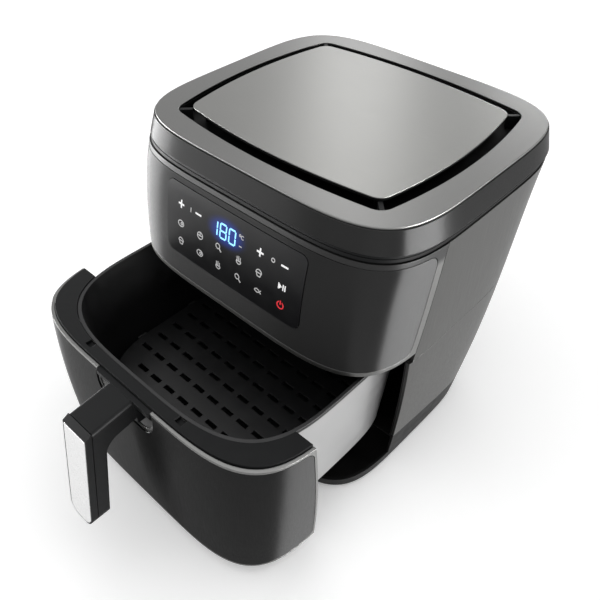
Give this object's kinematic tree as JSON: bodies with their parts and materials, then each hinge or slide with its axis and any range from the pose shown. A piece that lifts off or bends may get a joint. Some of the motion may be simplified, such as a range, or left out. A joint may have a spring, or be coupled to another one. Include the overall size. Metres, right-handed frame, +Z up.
{
  "type": "air fryer",
  "caption": "Drawer-type air fryer with a flared rim, touch panel, pull-out pan with crisper tray and drop handle, shown with its drawer part way out.",
  "frame": {"origin": "middle of the whole footprint with the drawer part way out, on the worktop", "axes": "+Z up, the drawer opens towards -Y, +X to the right when facing it"},
  "size_m": [0.3011, 0.459, 0.304],
  "materials": {
    "graphite_paint": "satin graphite lacquer on a moulding",
    "gloss_insert": "gloss black",
    "control_glass": "black-backed glass",
    "brushed_lid": "brushed",
    "black_plastic": "fine texture",
    "grey_trim": "satin",
    "bright_plate": "polished",
    "steel_sheet": "rolled",
    "zinc_screw": "zinc plated",
    "nonstick_coating": "non-stick coating on aluminium",
    "soft_rubber": "matte",
    "circuit_board": "solder mask"
  },
  "bodies": {
    "housing": {"base_pan": "black_plastic", "base_screws": "zinc_screw", "cable_gland": "black_plastic", "control_glass": "control_glass", "cooking_chamber": "steel_sheet", "corner_spacers": "black_plastic", "display_board": "circuit_board", "display_module": "black_plastic", "drawer_bay": "black_plastic", "drawer_rails": "black_plastic", "drawer_switch": "black_plastic", "front_frame": "graphite_paint", "front_insert": "gloss_insert", "heat_shield": "steel_sheet", "heater_guard": "steel_sheet", "heating_element": "steel_sheet", "inlet_dish": "black_plastic", "lower_shell": "graphite_paint", "motor_bracket": "steel_sheet", "motor_stator": "steel_sheet", "panel_carrier": "black_plastic", "panel_posts": "black_plastic", "power_board": "circuit_board", "rear_grille": "black_plastic", "rim_band": "gloss_insert", "rubber_feet": "soft_rubber", "temperature_sensor": "steel_sheet", "thermal_cutout": "steel_sheet", "top_panel": "brushed_lid", "top_ring": "brushed_lid", "trim_strip": "grey_trim", "upper_shell": "graphite_paint"},
    "drawer": {"drawer_front": "graphite_paint", "drawer_insert": "gloss_insert", "drawer_ring": "black_plastic", "drawer_magnet": "zinc_screw", "outer_pan": "steel_sheet", "inner_pot": "nonstick_coating", "handle_root": "black_plastic", "handle_arm": "black_plastic", "handle_cover": "black_plastic", "handle_plate": "bright_plate", "handle_screws": "zinc_screw"},
    "tray": {"crisper_tray": "nonstick_coating", "tray_bumpers": "soft_rubber"},
    "rotor": {"motor_shaft": "steel_sheet", "convection_fan": "steel_sheet", "cooling_fan": "steel_sheet"}
  },
  "joints": [
    {"name": "drawer_slide", "type": "slide", "parent": "housing", "child": "drawer", "axis": [0, -1, 0], "range_m": [-0.112, 0.03]},
    {"name": "tray_lift", "type": "slide", "parent": "drawer", "child": "tray", "axis": [0, 0, 1], "range_m": [0, 0.085]},
    {"name": "fan_spin", "type": "hinge", "parent": "housing", "child": "rotor", "pos_m": [0, 0.0745, 0.25], "axis": [0, 0, 1], "continuous": true}
  ]
}
